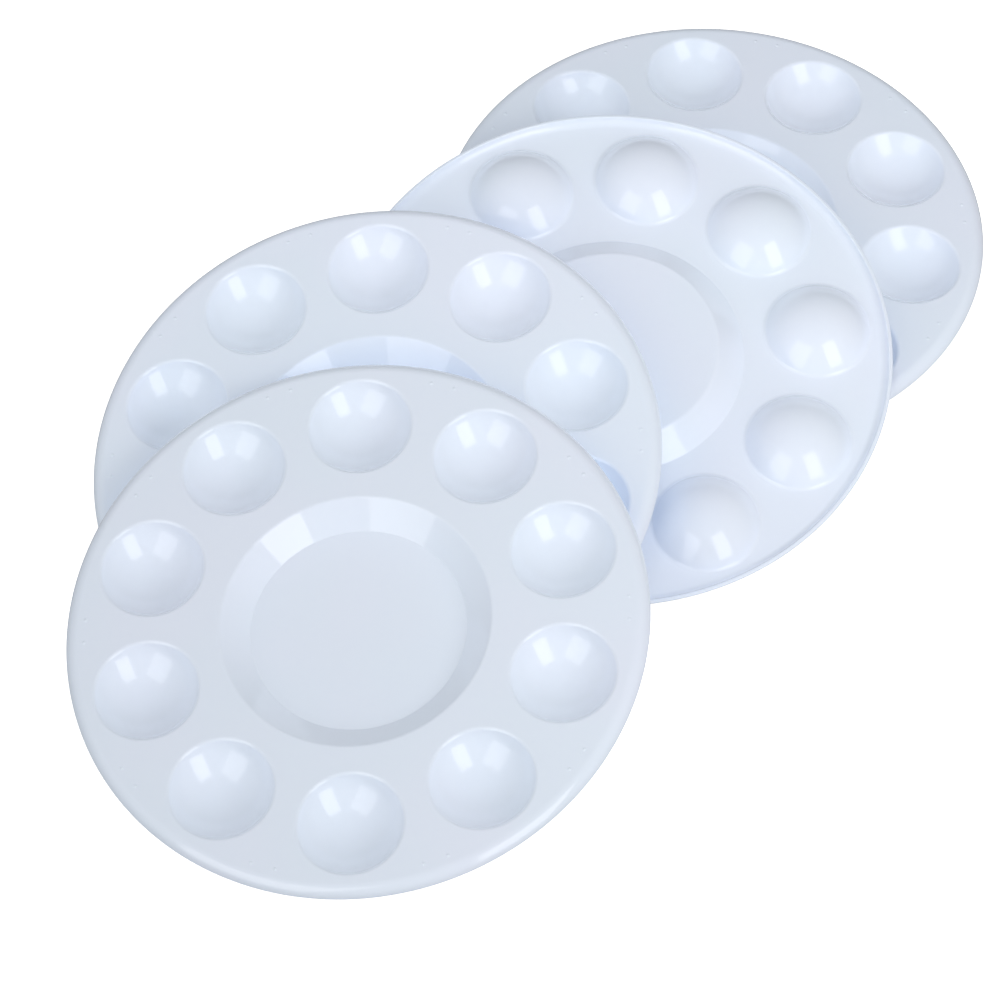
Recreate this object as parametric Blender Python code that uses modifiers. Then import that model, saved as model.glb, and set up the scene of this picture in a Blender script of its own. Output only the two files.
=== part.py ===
"""A set of four round ten-well mixing palettes, lying in a leaning row on a table.

Every palette is one thin plastic moulding: a flat disc with a rolled-down rim, ten round
wells in a ring, and a wide flat-bottomed basin in the middle. The back palette stands flat
on the bottoms of its wells. The next one is turned over and leans on the back palette's rim.
The middle and front palettes are the right way up, and each leans on the one behind it.

Units are metres and degrees, +Z is up, and the set is seen from -Y. The origin is on the
table, under the middle of the set's bounding box.
"""

import math
from collections import namedtuple

import bmesh
import bpy
from mathutils import Matrix, Vector

MM = 0.001

# One palette. Heights are measured from the flat top face, which is at z = 0.
PALETTE_RADIUS = 85.0 * MM
WALL = 1.3 * MM
WELL_COUNT = 10
WELL_RING_RADIUS = 63.1 * MM
WELL_RADIUS = 15.3 * MM
WELL_DEPTH = 8.3 * MM
BASIN_TOP_RADIUS = 39.6 * MM
BASIN_FLOOR_RADIUS = 31.6 * MM
BASIN_DEPTH = 6.6 * MM
RIM_BEND_RADIUS = 4.2 * MM
RIM_DROP = 3.2 * MM

# A well is part of a ball, whose centre is above the flat top face.
BALL_RADIUS = (WELL_RADIUS**2 + WELL_DEPTH**2) / (2 * WELL_DEPTH)
BALL_HEIGHT = BALL_RADIUS - WELL_DEPTH
STANDING_HEIGHT = WELL_DEPTH + WALL

# Fineness of the round shapes.
DISC_SEGMENTS = 50
RIM_SEGMENTS = 3
WELL_SEGMENTS = 16
BALL_RINGS = 10
SMOOTH_ANGLE = 30.0
MERGE_DISTANCE = 0.01 * MM

# Where a palette lies: the middle of its flat face in mm, how far it tilts from level and the
# direction in which it tilts down, and the direction of its first well.
Placement = namedtuple("Placement", "name centre tilt downhill first_well turned_over")
PLACEMENTS = (
    Placement("palette_back", (0.0, 0.0, STANDING_HEIGHT / MM), 0.0, 0.0, 22.0, False),
    Placement("palette_turned_over", (-31.7, -56.8, 13.4), 9.5, -95.8, 8.1, True),
    Placement("palette_middle", (-102.4, -100.7, 22.1), 11.3, -124.5, 18.0, False),
    Placement("palette_front", (-106.4, -161.0, 22.4), 11.6, -126.4, 17.7, False),
)

PLASTIC_COLOUR = (0.73, 0.79, 0.88, 1.0)
PLASTIC_ROUGHNESS = 0.22


def clear_scene():
    """Removes every object of the scene."""
    for item in list(bpy.data.objects):
        bpy.data.objects.remove(item, do_unlink=True)


def new_collection(name):
    """A new collection, linked to the scene."""
    collection = bpy.data.collections.new(name)
    bpy.context.scene.collection.children.link(collection)
    return collection


def plastic(name):
    """The bluish white moulded plastic of one palette."""
    material = bpy.data.materials.new(name)
    material.use_nodes = True
    shader = material.node_tree.nodes["Principled BSDF"]
    shader.inputs["Base Color"].default_value = PLASTIC_COLOUR
    shader.inputs["Roughness"].default_value = PLASTIC_ROUGHNESS
    shader.inputs["Metallic"].default_value = 0.0
    return material


def disc_profile():
    """The top face's line from the axis to the rim's lower edge, as points (radius, height)."""
    points = [
        (0.0, -BASIN_DEPTH),
        (BASIN_FLOOR_RADIUS, -BASIN_DEPTH),
        (BASIN_TOP_RADIUS, 0.0),
    ]
    turn = math.acos(1.0 - RIM_DROP / RIM_BEND_RADIUS)
    bend_start = PALETTE_RADIUS - RIM_BEND_RADIUS * math.sin(turn)
    for step in range(RIM_SEGMENTS + 1):
        angle = turn * step / RIM_SEGMENTS
        radius = bend_start + RIM_BEND_RADIUS * math.sin(angle)
        height = RIM_BEND_RADIUS * (math.cos(angle) - 1.0)
        points.append((radius, height))
    return points


def disc(name, collection):
    """The palette without its wells: a turned sheet, given its wall by Solidify."""
    mesh = bpy.data.meshes.new(name)
    points = [(radius, 0.0, height) for radius, height in disc_profile()]
    mesh.from_pydata(points, [(i, i + 1) for i in range(len(points) - 1)], [])
    sheet = bpy.data.objects.new(name, mesh)
    collection.objects.link(sheet)

    turn = sheet.modifiers.new("turn", "SCREW")
    turn.axis = "Z"
    turn.steps = DISC_SEGMENTS
    turn.render_steps = DISC_SEGMENTS
    turn.use_merge_vertices = True
    turn.merge_threshold = MERGE_DISTANCE

    wall = sheet.modifiers.new("wall", "SOLIDIFY")
    wall.thickness = WALL
    wall.offset = -1.0
    wall.use_even_offset = True
    return sheet


def well_centre(index):
    """The middle of a well's opening, in the palette's own frame."""
    angle = 2.0 * math.pi * index / WELL_COUNT
    return Vector((WELL_RING_RADIUS * math.cos(angle), WELL_RING_RADIUS * math.sin(angle), 0.0))


def balls(name, radius, cut_height, collection):
    """Ten balls in a ring, one for each well, cut off flat at cut_height when it is given."""
    shape = bmesh.new()
    for index in range(WELL_COUNT):
        place = Matrix.Translation(well_centre(index) + Vector((0.0, 0.0, BALL_HEIGHT)))
        turn = Matrix.Rotation(2.0 * math.pi * index / WELL_COUNT, 4, "Z")
        bmesh.ops.create_uvsphere(
            shape, u_segments=WELL_SEGMENTS, v_segments=BALL_RINGS, radius=radius, matrix=place @ turn
        )
    if cut_height is not None:
        everything = shape.verts[:] + shape.edges[:] + shape.faces[:]
        cut = bmesh.ops.bisect_plane(
            shape,
            geom=everything,
            plane_co=(0.0, 0.0, cut_height),
            plane_no=(0.0, 0.0, 1.0),
            clear_outer=True,
        )
        rims = [item for item in cut["geom_cut"] if isinstance(item, bmesh.types.BMEdge)]
        bmesh.ops.edgeloop_fill(shape, edges=rims)
    bmesh.ops.recalc_face_normals(shape, faces=shape.faces[:])
    mesh = bpy.data.meshes.new(name)
    shape.to_mesh(mesh)
    shape.free()
    guide = bpy.data.objects.new(name, mesh)
    guide.hide_render = True
    guide.display_type = "WIRE"
    collection.objects.link(guide)
    return guide


def finished_mesh(source):
    """A mesh of its own with the source's modifiers applied, shaded smooth up to SMOOTH_ANGLE."""
    bpy.context.view_layer.update()
    evaluated = source.evaluated_get(bpy.context.evaluated_depsgraph_get())
    mesh = bpy.data.meshes.new_from_object(evaluated)
    mesh.name = "palette"
    mesh.shade_smooth()
    mesh.set_sharp_from_angle(angle=math.radians(SMOOTH_ANGLE))
    return mesh


def palette_mesh(parts, cutters):
    """The shape that all four palettes share."""
    blank = disc("palette_blank", parts)
    cups = balls("well_cups", BALL_RADIUS + WALL, -WALL / 2, cutters)
    hollows = balls("well_hollows", BALL_RADIUS, None, cutters)
    for name, operation, guide in (("cups", "UNION", cups), ("hollows", "DIFFERENCE", hollows)):
        step = blank.modifiers.new(name, "BOOLEAN")
        step.operation = operation
        step.object = guide
        step.solver = "EXACT"
    mesh = finished_mesh(blank)
    bpy.data.objects.remove(blank, do_unlink=True)
    return mesh


def place_palette(mesh, placement, collection, whole_set):
    """One palette, turned about its own axis, turned over if need be, tilted and put in place."""
    palette = bpy.data.objects.new(placement.name, mesh.copy())
    palette.data.materials.clear()
    palette.data.materials.append(plastic(placement.name + "_plastic"))
    collection.objects.link(palette)

    downhill = Matrix.Rotation(math.radians(placement.downhill), 4, "Z")
    tilt = downhill @ Matrix.Rotation(math.radians(placement.tilt), 4, "Y") @ downhill.inverted()
    heading = Matrix.Rotation(math.radians(placement.first_well), 4, "Z")
    over = Matrix.Rotation(math.pi if placement.turned_over else 0.0, 4, "X")
    palette.matrix_world = Matrix.Translation(Vector(placement.centre) * MM) @ tilt @ heading @ over
    palette.parent = whole_set
    return palette


def centre_on_table(palettes, whole_set):
    """Moves the set sideways, so that the middle of its bounding box is over the origin."""
    bpy.context.view_layer.update()
    corners = [item.matrix_world @ vertex.co for item in palettes for vertex in item.data.vertices]
    for axis in (0, 1):
        low = min(corner[axis] for corner in corners)
        high = max(corner[axis] for corner in corners)
        whole_set.location[axis] = -(low + high) / 2
    bpy.context.view_layer.update()


def build():
    """Builds the four palettes."""
    clear_scene()
    parts = new_collection("mixing_palette_set")
    cutters = new_collection("cutters")
    whole_set = bpy.data.objects.new("palette_set", None)
    parts.objects.link(whole_set)
    mesh = palette_mesh(parts, cutters)
    palettes = [place_palette(mesh, placement, parts, whole_set) for placement in PLACEMENTS]
    bpy.data.meshes.remove(mesh)
    centre_on_table(palettes, whole_set)


build()
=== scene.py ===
"""The looks of a set of four round ten-well mixing palettes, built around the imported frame.

Each palette is one glossy moulding of bluish white plastic. Its fine mesh has the rounded
lips of the wells, the soft edges of the basin, the rolled rim with its rounded end, and the
pairs of raised pips. All four are made from that one shape. Lengths are in millimetres until a
mesh is made from it, and in metres from there on.
"""

import math
from collections import namedtuple

import bpy
from mathutils import Matrix, Vector
from mathutils.geometry import delaunay_2d_cdt


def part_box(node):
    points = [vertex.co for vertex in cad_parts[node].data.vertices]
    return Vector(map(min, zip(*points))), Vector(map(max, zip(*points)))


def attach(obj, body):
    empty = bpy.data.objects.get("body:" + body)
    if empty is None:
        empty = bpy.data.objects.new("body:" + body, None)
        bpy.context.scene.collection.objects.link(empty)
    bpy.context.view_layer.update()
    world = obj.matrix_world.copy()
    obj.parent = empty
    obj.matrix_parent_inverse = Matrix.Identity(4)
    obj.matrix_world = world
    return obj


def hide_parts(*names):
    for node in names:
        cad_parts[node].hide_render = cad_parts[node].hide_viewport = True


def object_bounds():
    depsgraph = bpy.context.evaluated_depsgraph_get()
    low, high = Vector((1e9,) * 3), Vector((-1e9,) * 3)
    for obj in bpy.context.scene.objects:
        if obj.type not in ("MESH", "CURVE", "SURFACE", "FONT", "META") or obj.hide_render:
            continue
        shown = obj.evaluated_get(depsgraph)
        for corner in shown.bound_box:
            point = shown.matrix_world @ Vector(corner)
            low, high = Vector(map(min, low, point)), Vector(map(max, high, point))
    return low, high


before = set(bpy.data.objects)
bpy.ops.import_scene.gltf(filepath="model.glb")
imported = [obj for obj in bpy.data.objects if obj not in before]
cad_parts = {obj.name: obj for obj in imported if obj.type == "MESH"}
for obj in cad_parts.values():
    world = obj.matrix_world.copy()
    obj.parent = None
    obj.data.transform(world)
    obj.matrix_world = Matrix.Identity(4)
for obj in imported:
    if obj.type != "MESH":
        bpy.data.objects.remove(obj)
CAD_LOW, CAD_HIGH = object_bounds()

MM = 0.001

# One palette, as in the CAD. Heights are measured from the flat top face, which is at 0.
PALETTE_RADIUS = 85.0
WALL = 1.3
WELL_COUNT = 10
WELL_RING_RADIUS = 63.1
WELL_RADIUS = 15.3
WELL_DEPTH = 8.3
BASIN_TOP_RADIUS = 39.6
BASIN_FLOOR_RADIUS = 31.6
BASIN_DEPTH = 6.6
RIM_BEND_RADIUS = 4.2
RIM_DROP = 3.2

# A well is part of a ball, whose centre is above the flat top face.
BALL_RADIUS = (WELL_RADIUS**2 + WELL_DEPTH**2) / (2 * WELL_DEPTH)
BALL_HEIGHT = BALL_RADIUS - WELL_DEPTH

# Rounded edges, which only this fine model has.
WELL_LIP_ROUNDING = 1.6
CUP_ROOT_ROUNDING = 1.9
BASIN_EDGE_ROUNDING = 1.6
BASIN_FLOOR_ROUNDING = 0.5
BASIN_UNDER_EDGE_ROUNDING = 0.6
RIM_END_ROUNDING = 0.45

# The raised pips: a pair in each space between two wells, close to the rim.
PIP_RING_RADIUS = 79.0
PIP_HALF_PAIR = math.radians(2.6)
PIP_RADIUS = 0.75
PIP_HEIGHT = 0.2

# Fineness: segments round each turned shape, rings and steps along its profile, and the spacing
# of the flat faces' points. Points with the same rounded place are one point.
RIM_SEGMENTS = 300
BASIN_SEGMENTS = 180
WELL_SEGMENTS = 108
PIP_SEGMENTS = 18
PIP_RINGS = 5
BASIN_FLOOR_RINGS = 8
ARC_STEP = math.radians(6.0)
RIM_END_STEP = math.radians(27.0)
BALL_STEP = math.radians(4.5)
FLAT_SPACING = 2.4
PLACE_DECIMALS = 4
MERGE_DISTANCE = 1e-5
STEP_TOLERANCE = 1e-6

# The plastic: its tones, the share of the mottle's tone, a painted glow of its own tone that stands
# in for the light the milky plastic passes on and lightens its shade evenly, and the least and
# greatest roughness of its polish.
COOL_TONE = (0.766, 0.846, 0.958, 1.0)
LILAC_TONE = (0.780, 0.842, 0.964, 1.0)
MOTTLE_TONE = (0.69, 0.76, 0.89, 1.0)
MOTTLE_SHARE = 0.05
PAINTED_GLOW = 0.10
PLASTIC_IOR = 1.5
POLISH = (0.03, 0.07)

# Its patterns in clouds to the metre, the height of its reliefs in metres, and the step from one
# palette's patterns to the next one's.
CLOUD_SCALE = 17.0
MOTTLE_SCALE = 420.0
POLISH_SCALE = 60.0
WAVE_SCALE = 95.0
WAVE_HEIGHT = 0.00006
GRAIN_SCALE = 1500.0
GRAIN_HEIGHT = 0.0000025
PATTERN_STEP = (1.7, 0.9, 0.3)

# The noise levels between which a pattern goes from nothing to full.
CLOUD_LEVELS = (0.35, 0.65)
FINE_LEVELS = (0.3, 0.7)
SCRATCHED_AREA_LEVELS = (0.5, 0.62)

# Its fine scratches: direction of each set on the first palette, turn from one palette to the
# next and noise level where a scratch starts, then their patterns and how rough they are.
SCRATCH_SETS = ((24.0, 40.0, 0.69), (101.0, 25.0, 0.70))
SCRATCH_EDGE = 0.03
SCRATCH_SCALE = (45.0, 2600.0, 45.0)
SCRATCHED_AREA_SCALE = (60.0, 60.0, 60.0)
SCRATCH_ROUGHNESS = 0.2

# The room: its even light and its broad bright patches, as direction, sharpness and brightness.
SKY_COLOUR = (1.0, 1.0, 1.0, 1.0)
SKY_EVEN = 0.04
SKY_PATCHES = (
    ((0.0, -1.0, 0.35), 2.0, 0.77),
    ((-1.0, 0.0, 0.35), 2.0, 0.64),
    ((1.0, 0.0, 0.35), 2.0, 0.25),
    ((-0.7, -0.3, 0.8), 6.0, 0.14),
)

# The softboxes fill these angles as seen from the set, in degrees, with azimuth 0 at -Y. Their
# brightness is given twice: as it is mirrored in gloss and as it shades matt surfaces.
Softbox = namedtuple("Softbox", "name azimuths elevations mirrored shading")
SOFTBOXES = (
    Softbox("left_softbox", (-60.0, -19.0), (9.0, 54.0), 1.6, 0.0),
    Softbox("right_softbox", (20.0, 51.0), (14.0, 59.0), 2.6, 0.85),
)
SOFTBOX_DISTANCE = 3.0

# Round soft lamps close to the set, which shade it unevenly and aren't mirrored in it. A lamp can
# shine through the front palette, or light everything except the front palette.
Lamp = namedtuple("Lamp", "name place power colour passes_front spares_front")
LAMPS = (
    Lamp("right_lamp", (0.40, -0.20, 0.40), 0.80, (1.0, 0.96, 0.92), False, False),
    Lamp("top_lamp", (0.0, 0.0, 0.70), 0.74, (1.0, 0.98, 0.94), True, False),
    Lamp("back_lamp", (-0.05, 0.25, 0.60), 0.14, (0.88, 0.96, 1.0), False, True),
)
LAMP_SIZE = 0.25

# The ground that the camera sees, and the table that takes its place for the set's light. Both
# lie just under the set: grey level, glow, how far under, and whether the camera sees it.
Ground = namedtuple("Ground", "name grey glow drop seen")
GROUNDS = (
    Ground("white_ground", 0.9, 0.9, 0.0002, True),
    Ground("table", 0.45, 0.0, 0.0004, False),
)
GROUND_HALF_WIDTH = 6.0
GROUND_ROUGHNESS = 0.9
GROUND_GLOSS = 0.1

# The camera: how steeply it looks down, the point that it looks at and how far off it is, its
# lens and sensor in mm, and how far it is rolled.
CAMERA_ELEVATION = math.radians(53.56)
CAMERA_DISTANCE = 1.2519
CAMERA_AIM = (-0.0126, -0.0214, 0.0)
CAMERA_LENS = 150.27
CAMERA_SENSOR = 36.0
CAMERA_ROLL = math.radians(0.70)

# Where a palette lies: the middle of its flat face in mm from the point on the table under the
# back palette's middle, how far it tilts from level and the direction in which it tilts down,
# and the direction of its first well, as in the CAD. body is the CAD body that it rides on.
Placement = namedtuple("Placement", "node body centre tilt downhill first_well turned_over")
PLACEMENTS = (
    Placement("palette_back", "back", (0.0, 0.0, 9.6), 0.0, 0.0, 22.0, False),
    Placement("palette_turned_over", "turned_over", (-31.7, -56.8, 13.4), 9.5, -95.8, 8.1, True),
    Placement("palette_middle", "middle", (-102.4, -100.7, 22.1), 11.3, -124.5, 18.0, False),
    Placement("palette_front", "front", (-106.4, -161.0, 22.4), 11.6, -126.4, 17.7, False),
)

ProfilePoint = namedtuple("ProfilePoint", "radius height normal_out normal_up")


def facing(angle):
    """The direction that leans outwards from straight up by an angle, as (out, up)."""
    return math.sin(angle), math.cos(angle)


def arc(centre, radius, start, end, step=ARC_STEP, hollow=False):
    """Points of an arc in a profile, whose face turns from start to end, measured from up."""
    steps = max(1, math.ceil(abs(end - start) / step - STEP_TOLERANCE))
    side = -radius if hollow else radius
    points = []
    for index in range(steps + 1):
        out, up = facing(start + (end - start) * index / steps)
        points.append(ProfilePoint(centre[0] + side * out, centre[1] + side * up, out, up))
    return points


def floor_points(radius, height, up, rings):
    """Rings of a flat round floor, from just inside its edge to its middle."""
    shares = [1 - ring / rings for ring in range(1, rings + 1)]
    return [ProfilePoint(radius * share, height, 0.0, up) for share in shares]


def well_top():
    """A well's inside, from its lip's outer edge to its bottom."""
    reach = BALL_RADIUS + WELL_LIP_ROUNDING
    drop = BALL_HEIGHT + WELL_LIP_ROUNDING
    lip_radius = math.sqrt(reach**2 - drop**2)
    lean = math.atan2(lip_radius, drop)
    lip = arc((lip_radius, -WELL_LIP_ROUNDING), WELL_LIP_ROUNDING, 0.0, -lean)
    ball = arc((0.0, BALL_HEIGHT), BALL_RADIUS, -lean, 0.0, BALL_STEP, hollow=True)
    return lip + ball[1:]


def well_under():
    """A well's outside, from the outer edge of its root's rounding to its bottom."""
    reach = BALL_RADIUS + WALL + CUP_ROOT_ROUNDING
    drop = BALL_HEIGHT + WALL + CUP_ROOT_ROUNDING
    root_radius = math.sqrt(reach**2 - drop**2)
    lean = math.atan2(root_radius, drop)
    root_centre = (root_radius, -WALL - CUP_ROOT_ROUNDING)
    root = arc(root_centre, CUP_ROOT_ROUNDING, math.pi, math.pi - lean, hollow=True)
    ball = arc((0.0, BALL_HEIGHT), BALL_RADIUS + WALL, math.pi - lean, math.pi, BALL_STEP)
    return root + ball[1:]


def basin(edge, floor_radius, height, edge_rounding, floor_rounding, under):
    """The basin's one side, from the outer edge of its edge's rounding to its middle."""
    slope = math.atan2(BASIN_DEPTH, edge - floor_radius)
    floor_middle = floor_radius - floor_rounding * math.tan(slope / 2)
    edge_centre = (edge + edge_rounding * math.tan(slope / 2), height - edge_rounding)
    floor_centre = (floor_middle, height - BASIN_DEPTH + floor_rounding)
    if under:
        edge_arc = arc(edge_centre, edge_rounding, math.pi, math.pi - slope, hollow=True)
        floor_arc = arc(floor_centre, floor_rounding, math.pi - slope, math.pi)
    else:
        edge_arc = arc(edge_centre, edge_rounding, 0.0, -slope)
        floor_arc = arc(floor_centre, floor_rounding, -slope, 0.0, hollow=True)
    up = -1.0 if under else 1.0
    floor = floor_points(floor_middle, height - BASIN_DEPTH, up, BASIN_FLOOR_RINGS)
    return edge_arc + floor_arc + floor


def basin_top():
    """The basin's inside."""
    return basin(
        BASIN_TOP_RADIUS, BASIN_FLOOR_RADIUS, 0.0, BASIN_EDGE_ROUNDING, BASIN_FLOOR_ROUNDING, False
    )


def basin_under():
    """The basin's outside."""
    slope = math.atan2(BASIN_DEPTH, BASIN_TOP_RADIUS - BASIN_FLOOR_RADIUS)
    shift = WALL * math.tan(slope / 2)
    return basin(
        BASIN_TOP_RADIUS + shift,
        BASIN_FLOOR_RADIUS + shift,
        -WALL,
        BASIN_UNDER_EDGE_ROUNDING,
        BASIN_FLOOR_ROUNDING + WALL,
        True,
    )


def rim():
    """The rim, from the flat top face round its bend and its rounded end to the flat underside."""
    turn = math.acos(1.0 - RIM_DROP / RIM_BEND_RADIUS)
    centre = (PALETTE_RADIUS - RIM_BEND_RADIUS * math.sin(turn), -RIM_BEND_RADIUS)
    inner_radius = RIM_BEND_RADIUS - WALL
    outer_corner = RIM_BEND_RADIUS - RIM_END_ROUNDING
    inner_corner = inner_radius + RIM_END_ROUNDING
    outer_turn = turn - math.asin(RIM_END_ROUNDING / outer_corner)
    inner_turn = turn - math.asin(RIM_END_ROUNDING / inner_corner)
    quarter = math.pi / 2
    outer_out, outer_up = facing(outer_turn)
    inner_out, inner_up = facing(inner_turn)
    outer_place = (centre[0] + outer_corner * outer_out, centre[1] + outer_corner * outer_up)
    inner_place = (centre[0] + inner_corner * inner_out, centre[1] + inner_corner * inner_up)
    points = arc(centre, RIM_BEND_RADIUS, 0.0, outer_turn)
    points += arc(outer_place, RIM_END_ROUNDING, outer_turn, turn + quarter, RIM_END_STEP)[1:]
    points += arc(inner_place, RIM_END_ROUNDING, turn + quarter, inner_turn + math.pi, RIM_END_STEP)
    points += arc(centre, inner_radius, inner_turn + math.pi, math.pi, hollow=True)[1:]
    return points


def pip():
    """A pip, from its foot to its top: one wave of a cosine."""
    points = []
    for ring in range(PIP_RINGS + 1):
        share = 1 - ring / PIP_RINGS
        height = PIP_HEIGHT / 2 * (1 + math.cos(math.pi * share))
        lean = math.atan(PIP_HEIGHT / 2 * math.pi / PIP_RADIUS * math.sin(math.pi * share))
        points.append(ProfilePoint(PIP_RADIUS * share, height, *facing(lean)))
    return points


class Surface:
    """Points with the direction that the surface faces there, and faces; equal points are shared."""

    def __init__(self):
        self.points = []
        self.normals = []
        self.faces = []
        self.known = {}

    def point(self, x, y, z, normal):
        """The number of a point, which is new if there is none at that place yet."""
        key = tuple(round(value, PLACE_DECIMALS) for value in (x, y, z))
        if key not in self.known:
            self.known[key] = len(self.points)
            self.points.append(Vector((x, y, z)))
            self.normals.append(Vector(normal))
        return self.known[key]

    def face(self, corners):
        """A face, turned so that it faces as its points do."""
        corners = list(dict.fromkeys(corners))
        a, b, c = (self.points[corner] for corner in corners[:3])
        if (b - a).cross(c - a).dot(self.normals[corners[0]] + self.normals[corners[2]]) < 0:
            corners.reverse()
        self.faces.append(corners)

    def turn(self, centre, profile, segments, heading):
        """A profile turned about the upright line through centre."""
        rings = []
        for place in profile:
            ring = []
            for x, y, out_x, out_y in circle(centre, place.radius, segments, heading):
                normal = (place.normal_out * out_x, place.normal_out * out_y, place.normal_up)
                ring.append(self.point(x, y, place.height, normal))
            rings.append(ring)
        for outer, inner in zip(rings, rings[1:]):
            for index in range(segments):
                after = (index + 1) % segments
                self.face((outer[index], outer[after], inner[after], inner[index]))


def circle(centre, radius, segments, heading):
    """Points of a circle with their outward direction, starting at heading: (x, y, out x, out y)."""
    radius = max(radius, 0.0)
    points = []
    for index in range(segments):
        angle = heading + 2 * math.pi * index / segments
        out_x = math.cos(angle)
        out_y = math.sin(angle)
        points.append((centre[0] + radius * out_x, centre[1] + radius * out_y, out_x, out_y))
    return points


def round_place(radius, angle):
    """A point at a distance from the palette's axis, in a direction."""
    return radius * math.cos(angle), radius * math.sin(angle)


def flat_face(surface, height, up, outline, holes):
    """The flat stretch between a round outline and round holes, filled with even triangles."""
    points = []
    edges = []
    for centre, radius, segments, heading in [outline] + holes:
        first = len(points)
        points += [(x, y) for x, y, _, _ in circle(centre, radius, segments, heading)]
        edges += [(first + index, first + (index + 1) % segments) for index in range(segments)]
    row_height = FLAT_SPACING * math.sqrt(3) / 2
    rows = math.ceil(outline[1] / row_height)
    for row in range(-rows, rows + 1):
        for column in range(-rows, rows + 1):
            x = (column + row % 2 / 2) * FLAT_SPACING
            y = row * row_height
            inside = math.hypot(x, y) < outline[1] - FLAT_SPACING / 2
            clear = all(math.hypot(x - c[0], y - c[1]) > r + FLAT_SPACING / 2 for c, r, _, _ in holes)
            if inside and clear:
                points.append((x, y))
    places = [Vector(point) for point in points]
    _, _, triangles, came_from, _, _ = delaunay_2d_cdt(places, edges, [], 0, MERGE_DISTANCE)
    for triangle in triangles:
        corners = [points[came_from[corner][0]] for corner in triangle]
        middle_x = sum(x for x, _ in corners) / 3
        middle_y = sum(y for _, y in corners) / 3
        if all(math.hypot(middle_x - c[0], middle_y - c[1]) > r for c, r, _, _ in holes):
            surface.face([surface.point(x, y, height, (0.0, 0.0, up)) for x, y in corners])


def palette_surface():
    """The fine closed surface that all four palettes share."""
    surface = Surface()
    rim_profile = rim()
    middle = (0.0, 0.0)
    surface.turn(middle, rim_profile, RIM_SEGMENTS, 0.0)
    sides = (
        (0.0, 1.0, well_top(), basin_top(), True),
        (-WALL, -1.0, well_under(), basin_under(), False),
    )
    for height, up, well_profile, basin_profile, has_pips in sides:
        surface.turn(middle, basin_profile, BASIN_SEGMENTS, 0.0)
        holes = [(middle, basin_profile[0].radius, BASIN_SEGMENTS, 0.0)]
        for index in range(WELL_COUNT):
            heading = 2 * math.pi * index / WELL_COUNT
            centre = round_place(WELL_RING_RADIUS, heading)
            surface.turn(centre, well_profile, WELL_SEGMENTS, heading)
            holes.append((centre, well_profile[0].radius, WELL_SEGMENTS, heading))
            between = heading + math.pi / WELL_COUNT
            for angle in (between - PIP_HALF_PAIR, between + PIP_HALF_PAIR) if has_pips else ():
                place = round_place(PIP_RING_RADIUS, angle)
                surface.turn(place, pip(), PIP_SEGMENTS, heading)
                holes.append((place, PIP_RADIUS, PIP_SEGMENTS, heading))
        outline = (middle, rim_profile[0].radius, RIM_SEGMENTS, 0.0)
        flat_face(surface, height, up, outline, holes)
    return surface


def palette_mesh(name, surface, matrix):
    """The surface as a mesh in metres, in its place."""
    mesh = bpy.data.meshes.new(name)
    mesh.from_pydata([matrix @ (point * MM) for point in surface.points], [], surface.faces)
    mesh.shade_smooth()
    turn = matrix.to_3x3()
    normals = [turn @ normal.normalized() for normal in surface.normals]
    mesh.normals_split_custom_set_from_vertices(normals)
    return mesh


class Nodes:
    """Makes and joins the nodes of one material or world."""

    # A Mix node has sockets for each kind of value. These are the numbers of those for colours.
    MIX_FIRST = 6
    MIX_SECOND = 7
    MIX_RESULT = 2

    def __init__(self, tree):
        self.tree = tree

    def add(self, kind, **settings):
        """A new node with its properties set."""
        node = self.tree.nodes.new(kind)
        for name, value in settings.items():
            setattr(node, name, value)
        return node

    def feed(self, node, name, source):
        """Sets an input, either to a value or to another node's output."""
        socket = node.inputs[name]
        if isinstance(source, bpy.types.NodeSocket):
            self.tree.links.new(source, socket)
        else:
            socket.default_value = source

    def maths(self, operation, first, second):
        """The result of a sum on two numbers."""
        node = self.add("ShaderNodeMath", operation=operation)
        self.feed(node, 0, first)
        self.feed(node, 1, second)
        return node.outputs["Value"]

    def noise(self, place, scale, detail):
        """Cloudy noise from 0 to 1; scale is in clouds to the metre."""
        node = self.add("ShaderNodeTexNoise")
        self.feed(node, "Vector", place)
        self.feed(node, "Scale", scale)
        self.feed(node, "Detail", detail)
        return node.outputs["Fac"]

    def ramp(self, source, low, high, at_low, at_high):
        """Maps low..high to at_low..at_high, with soft ends and nothing beyond them."""
        node = self.add("ShaderNodeMapRange", interpolation_type="SMOOTHSTEP")
        self.feed(node, "Value", source)
        self.feed(node, "From Min", low)
        self.feed(node, "From Max", high)
        self.feed(node, "To Min", at_low)
        self.feed(node, "To Max", at_high)
        return node.outputs["Result"]

    def mix(self, share, first, second):
        """A colour between two colours."""
        node = self.add("ShaderNodeMix", data_type="RGBA")
        self.feed(node, "Factor", share)
        self.feed(node, self.MIX_FIRST, first)
        self.feed(node, self.MIX_SECOND, second)
        return node.outputs[self.MIX_RESULT]

    def turned(self, place, angle, scale):
        """A place turned about the upright axis and stretched."""
        node = self.add("ShaderNodeMapping")
        self.feed(node, "Vector", place)
        self.feed(node, "Rotation", (0.0, 0.0, math.radians(angle)))
        self.feed(node, "Scale", scale)
        return node.outputs["Vector"]

    def bump(self, height, distance, below=None):
        """A fine relief of this height in metres, on top of another one."""
        node = self.add("ShaderNodeBump")
        self.feed(node, "Strength", 1.0)
        self.feed(node, "Distance", distance)
        self.feed(node, "Height", height)
        if below is not None:
            self.feed(node, "Normal", below)
        return node.outputs["Normal"]


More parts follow.
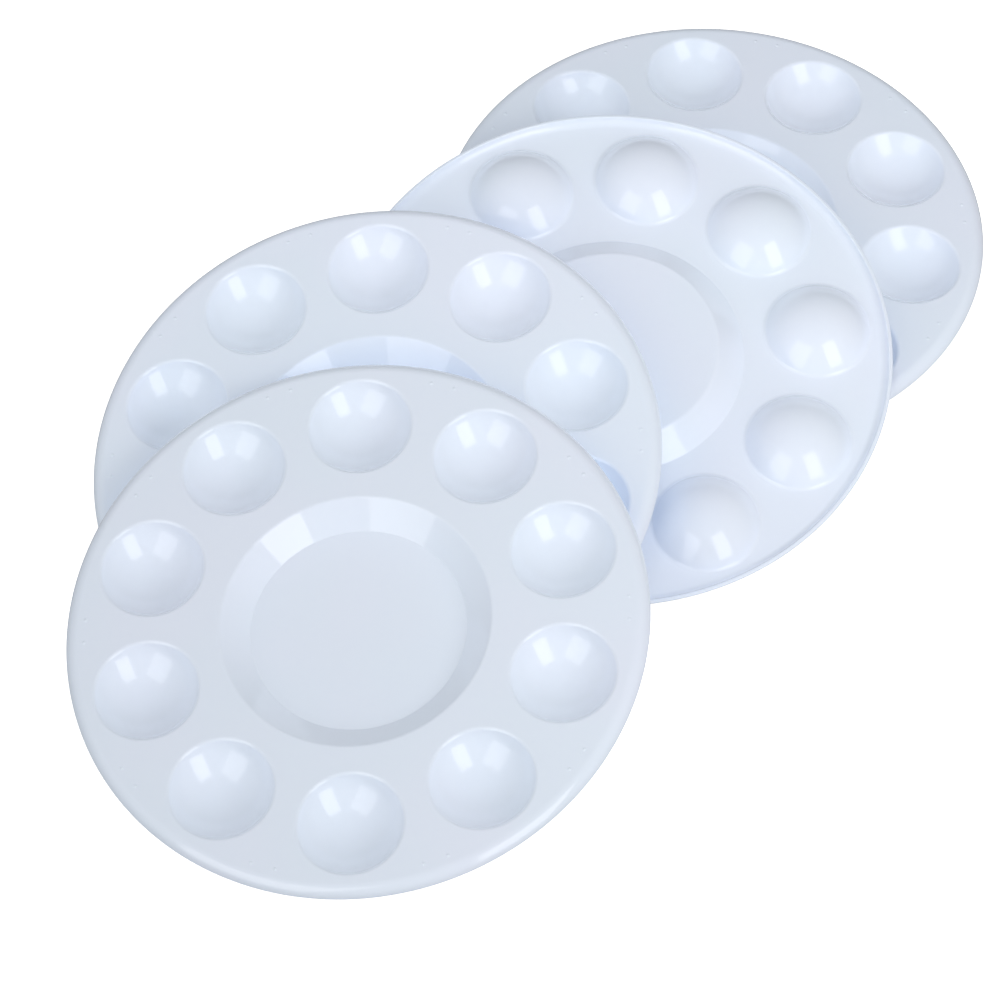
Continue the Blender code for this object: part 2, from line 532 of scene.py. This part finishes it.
def hairlines(nodes, place, angle, level):
    """Sparse fine scratches in one direction: 1 on a scratch, 0 beside it."""
    fine = nodes.noise(nodes.turned(place, angle, SCRATCH_SCALE), 1.0, 1.0)
    area = nodes.noise(nodes.turned(place, angle, SCRATCHED_AREA_SCALE), 1.0, 1.0)
    on_scratch = nodes.ramp(fine, level, level + SCRATCH_EDGE, 0.0, 1.0)
    in_area = nodes.ramp(area, *SCRATCHED_AREA_LEVELS, 0.0, 1.0)
    return nodes.maths("MULTIPLY", on_scratch, in_area)


def plastic(name, index):
    """Milky bluish white plastic with a gloss: slight clouds, moulding waves, grain and hairlines,
    and a painted glow of its own tone that lightens its shade evenly.

    index is the palette's number, so that no two palettes have the same clouds and scratches.
    """
    material = bpy.data.materials.new(name)
    material.use_nodes = True
    nodes = Nodes(material.node_tree)
    shader = material.node_tree.nodes["Principled BSDF"]
    coordinates = nodes.add("ShaderNodeTexCoord")
    shifted = nodes.add("ShaderNodeVectorMath", operation="ADD")
    nodes.feed(shifted, 0, coordinates.outputs["Object"])
    nodes.feed(shifted, 1, [index * step for step in PATTERN_STEP])
    place = shifted.outputs["Vector"]

    clouds = nodes.noise(place, CLOUD_SCALE, 2.0)
    tone = nodes.mix(nodes.ramp(clouds, *CLOUD_LEVELS, 0.0, 1.0), COOL_TONE, LILAC_TONE)
    mottle = nodes.ramp(nodes.noise(place, MOTTLE_SCALE, 3.0), *FINE_LEVELS, 0.0, MOTTLE_SHARE)
    nodes.feed(shader, "Base Color", nodes.mix(mottle, tone, MOTTLE_TONE))

    scratch_sets = [
        hairlines(nodes, place, angle + index * turn, level) for angle, turn, level in SCRATCH_SETS
    ]
    scratches = nodes.maths("MAXIMUM", *scratch_sets)
    scratch_roughness = nodes.maths("MULTIPLY", scratches, SCRATCH_ROUGHNESS)
    polish = nodes.ramp(nodes.noise(place, POLISH_SCALE, 3.0), *FINE_LEVELS, *POLISH)
    nodes.feed(shader, "Roughness", nodes.maths("ADD", polish, scratch_roughness))

    waves = nodes.bump(nodes.noise(place, WAVE_SCALE, 1.0), WAVE_HEIGHT)
    grain = nodes.bump(nodes.noise(place, GRAIN_SCALE, 2.0), GRAIN_HEIGHT, waves)
    nodes.feed(shader, "Normal", grain)
    # Painted glow: the plastic gives off a little light of its own tone, which lightens its shade
    # everywhere.
    nodes.feed(shader, "Emission Color", tone)
    nodes.feed(shader, "Emission Strength", PAINTED_GLOW)
    nodes.feed(shader, "IOR", PLASTIC_IOR)
    return material


def place_palette(placement, surface, table_point):
    """One palette in the place where its CAD node lies, riding on that node's body."""
    downhill = Matrix.Rotation(math.radians(placement.downhill), 4, "Z")
    tilt = downhill @ Matrix.Rotation(math.radians(placement.tilt), 4, "Y") @ downhill.inverted()
    heading = Matrix.Rotation(math.radians(placement.first_well), 4, "Z")
    over = Matrix.Rotation(math.pi if placement.turned_over else 0.0, 4, "X")
    shift = Matrix.Translation(table_point + Vector(placement.centre) * MM)
    name = placement.node + "_moulding"
    palette = bpy.data.objects.new(name, palette_mesh(name, surface, shift @ tilt @ heading @ over))
    bpy.context.scene.collection.objects.link(palette)
    palette.data.materials.append(plastic(placement.node + "_plastic", PLACEMENTS.index(placement)))
    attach(palette, placement.body)
    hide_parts(placement.node)


def table_point_under_back_palette():
    """The point on the table under the back palette's middle."""
    low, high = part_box("palette_back")
    return Vector(((low.x + high.x) / 2, (low.y + high.y) / 2, low.z))


def make_floor():
    """A plain white ground for the camera, and a darker table in its place for the set's light."""
    half = GROUND_HALF_WIDTH
    corners = [(-half, -half, 0.0), (half, -half, 0.0), (half, half, 0.0), (-half, half, 0.0)]
    for ground in GROUNDS:
        mesh = bpy.data.meshes.new(ground.name)
        mesh.from_pydata(corners, [], [(0, 1, 2, 3)])
        floor = bpy.data.objects.new(ground.name, mesh)
        bpy.context.scene.collection.objects.link(floor)
        floor.location.z = CAD_LOW.z - ground.drop
        floor.visible_camera = ground.seen
        floor.visible_diffuse = not ground.seen
        floor.visible_glossy = not ground.seen
        floor.visible_shadow = not ground.seen
        material = bpy.data.materials.new(ground.name)
        material.use_nodes = True
        shader = material.node_tree.nodes["Principled BSDF"]
        shader.inputs["Base Color"].default_value = (ground.grey, ground.grey, ground.grey, 1.0)
        shader.inputs["Roughness"].default_value = GROUND_ROUGHNESS
        shader.inputs["Specular IOR Level"].default_value = GROUND_GLOSS
        shader.inputs["Emission Color"].default_value = (1.0, 1.0, 1.0, 1.0)
        shader.inputs["Emission Strength"].default_value = ground.glow
        mesh.materials.append(material)


def new_light(name, shape):
    """A new area light of this shape in the scene, as its object."""
    light = bpy.data.lights.new(name, "AREA")
    light.shape = shape
    lamp = bpy.data.objects.new(name, light)
    bpy.context.scene.collection.objects.link(lamp)
    return lamp


def all_but_the_front():
    """The collection that stands for everything in the scene except the front palette."""
    name = "all_but_the_front"
    if name not in bpy.data.collections:
        collection = bpy.data.collections.new(name)
        collection.objects.link(bpy.data.objects["palette_front_moulding"])
        collection.collection_objects[0].light_linking.link_state = "EXCLUDE"
    return bpy.data.collections[name]


def make_softbox(box):
    """A rectangular soft light before the set: one that is mirrored and one that shades.

    The mirrored one shines through the front palette, so that the palette behind it is as glossy
    beside its edge as elsewhere.
    """
    azimuth = math.radians(sum(box.azimuths) / 2)
    elevation = math.radians(sum(box.elevations) / 2)
    half_width = math.radians(box.azimuths[1] - box.azimuths[0]) / 2 * math.cos(elevation)
    half_height = math.radians(box.elevations[1] - box.elevations[0]) / 2
    level = math.cos(elevation)
    towards = Vector((math.sin(azimuth) * level, -math.cos(azimuth) * level, math.sin(elevation)))
    for use, brightness in (("mirrored", box.mirrored), ("shading", box.shading)):
        if not brightness:
            continue
        lamp = new_light(f"{box.name}_{use}", "RECTANGLE")
        lamp.data.size = 2 * SOFTBOX_DISTANCE * math.tan(half_width)
        lamp.data.size_y = 2 * SOFTBOX_DISTANCE * math.tan(half_height)
        lamp.data.energy = brightness * math.pi * lamp.data.size * lamp.data.size_y
        lamp.location = towards * SOFTBOX_DISTANCE
        lamp.rotation_euler = towards.to_track_quat("Z", "Y").to_euler()
        lamp.visible_diffuse = use == "shading"
        lamp.visible_glossy = use == "mirrored"
        if use == "mirrored":
            lamp.light_linking.blocker_collection = all_but_the_front()


def make_lamp(lamp):
    """A round soft lamp that lights matt surfaces only."""
    light = new_light(lamp.name, "DISK")
    light.data.size = LAMP_SIZE
    light.data.energy = lamp.power
    light.data.color = lamp.colour
    light.location = lamp.place
    light.rotation_euler = Vector(lamp.place).to_track_quat("Z", "Y").to_euler()
    light.visible_glossy = False
    if lamp.passes_front:
        light.light_linking.blocker_collection = all_but_the_front()
    if lamp.spares_front:
        light.light_linking.receiver_collection = all_but_the_front()


def make_sky():
    """A pale room: an even light from all sides, and broad bright patches on it."""
    world = bpy.data.worlds.new("pale_room")
    world.use_nodes = True
    nodes = Nodes(world.node_tree)
    direction = nodes.add("ShaderNodeTexCoord").outputs["Generated"]
    strength = SKY_EVEN
    for towards, sharpness, brightness in SKY_PATCHES:
        facing_patch = nodes.add("ShaderNodeVectorMath", operation="DOT_PRODUCT")
        nodes.feed(facing_patch, 0, direction)
        nodes.feed(facing_patch, 1, Vector(towards).normalized())
        towards_patch = nodes.maths("MAXIMUM", facing_patch.outputs["Value"], 0.0)
        share = nodes.maths("POWER", towards_patch, sharpness)
        strength = nodes.maths("ADD", nodes.maths("MULTIPLY", share, brightness), strength)
    background = world.node_tree.nodes["Background"]
    nodes.feed(background, "Color", SKY_COLOUR)
    nodes.feed(background, "Strength", strength)
    bpy.context.scene.world = world


def make_lights():
    """Softboxes before the set, lamps close to it, and a pale room around it."""
    for box in SOFTBOXES:
        make_softbox(box)
    for lamp in LAMPS:
        make_lamp(lamp)
    make_sky()
    bpy.context.scene.view_settings.view_transform = "Standard"


def make_camera():
    """A long lens that looks down on the set from the front."""
    back = Vector((0.0, -math.cos(CAMERA_ELEVATION), math.sin(CAMERA_ELEVATION)))
    data = bpy.data.cameras.new("camera")
    data.lens = CAMERA_LENS
    data.sensor_width = CAMERA_SENSOR
    camera = bpy.data.objects.new("camera", data)
    bpy.context.scene.collection.objects.link(camera)
    camera.rotation_mode = "QUATERNION"
    camera.location = Vector(CAMERA_AIM) + back * CAMERA_DISTANCE
    roll = Matrix.Rotation(CAMERA_ROLL, 4, "Z").to_quaternion()
    camera.rotation_quaternion = back.to_track_quat("Z", "Y") @ roll
    bpy.context.scene.camera = camera


def build():
    """Makes the palettes, the stage, the lights and the camera."""
    surface = palette_surface()
    table_point = table_point_under_back_palette()
    for placement in PLACEMENTS:
        place_palette(placement, surface, table_point)
    make_floor()
    make_lights()
    make_camera()


build()
